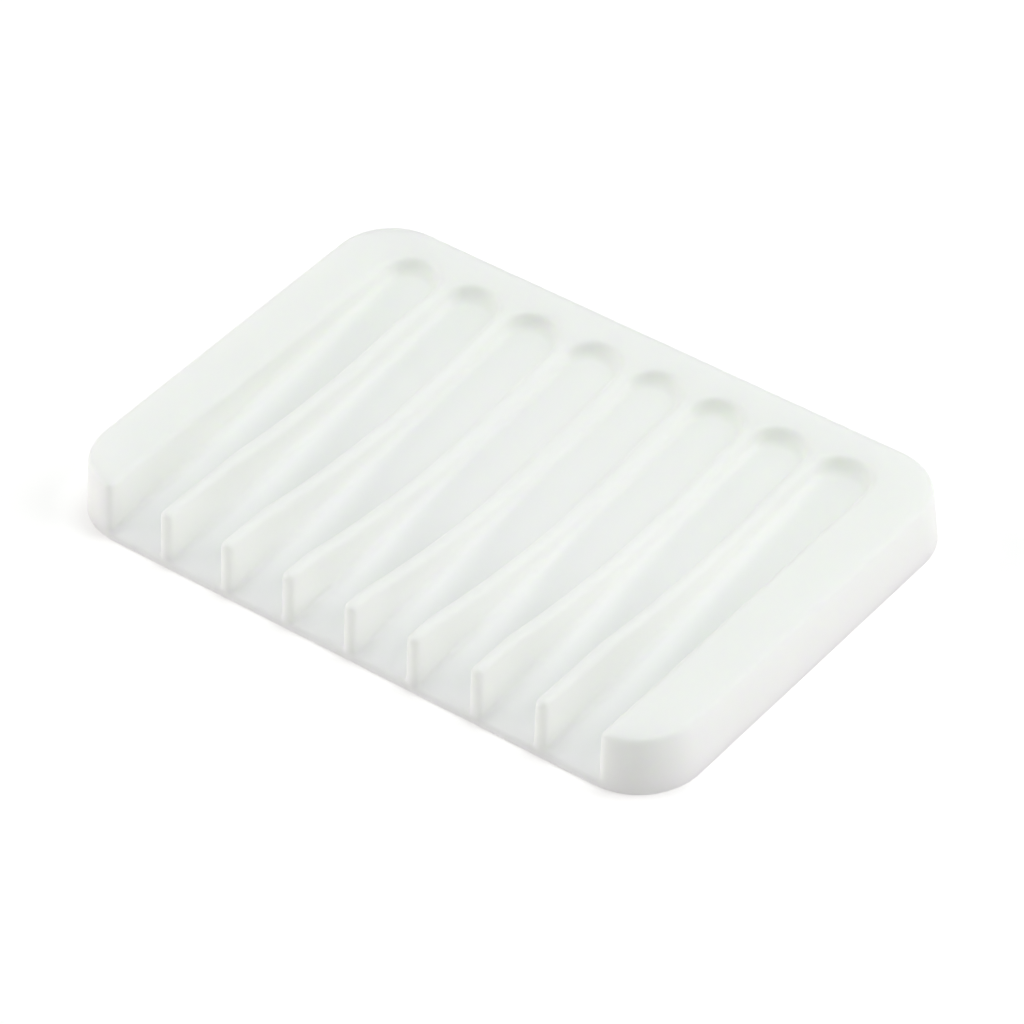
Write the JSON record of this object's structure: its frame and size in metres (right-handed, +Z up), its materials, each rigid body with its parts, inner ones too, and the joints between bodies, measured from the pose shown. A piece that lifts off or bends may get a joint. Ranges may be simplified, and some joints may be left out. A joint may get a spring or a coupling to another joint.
{
  "type": "soap dish",
  "caption": "Flat self-draining soap dish with rounded corners, a dished seat across parallel ribs, and sloping grooves that run out through one open long side.",
  "frame": {"origin": "middle of the flat underside, on the surface that the tray stands on", "axes": "+X along the tray's length, across the grooves; +Y from the open draining front to the back rim; +Z up"},
  "size_m": [0.115, 0.08, 0.01],
  "materials": {
    "silicone": "smooth matte moulded silicone rubber, off-white and slightly translucent"
  },
  "bodies": {
    "root": {"soap_tray": "silicone"}
  },
  "joints": []
}
